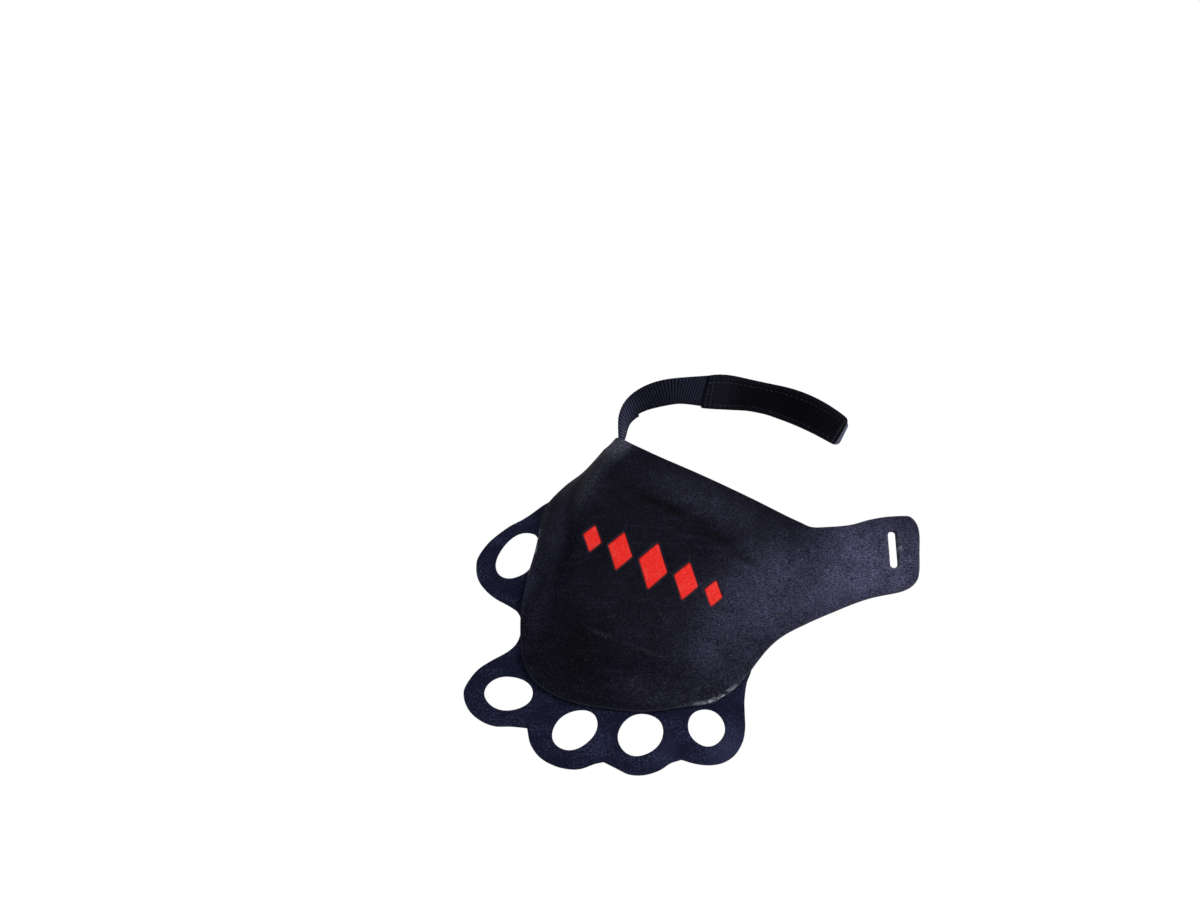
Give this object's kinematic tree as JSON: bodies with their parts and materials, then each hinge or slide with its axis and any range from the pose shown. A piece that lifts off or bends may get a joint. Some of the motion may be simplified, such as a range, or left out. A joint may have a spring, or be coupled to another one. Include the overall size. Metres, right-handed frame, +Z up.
{
  "type": "crack climbing glove",
  "caption": "Left crack climbing glove lying back up: rubber back panel with slotted wrist tab, lozenge inlays, finger and thumb loop sheet, webbing strap with hook patch.",
  "frame": {"origin": "centre of the bounding box's base, on the surface that the glove lies on", "axes": "+X from the thumb side to the wrist tab's end, +Y from the fingers toward the wrist and the strap, +Z up, away from the back of the hand"},
  "size_m": [0.196, 0.1868, 0.0212],
  "materials": {
    "rubber": "fine-grained, satin",
    "suede": "short nap",
    "inlay": "matt, finely speckled",
    "webbing": "ribbed weave",
    "patch": "fine hooks"
  },
  "bodies": {
    "root": {"back_panel": "rubber", "finger_loop_sheet": "suede", "inlay_1": "inlay", "inlay_2": "inlay", "inlay_3": "inlay", "inlay_4": "inlay", "inlay_5": "inlay", "strap_webbing": "webbing", "strap_hook_patch": "patch"}
  },
  "joints": []
}
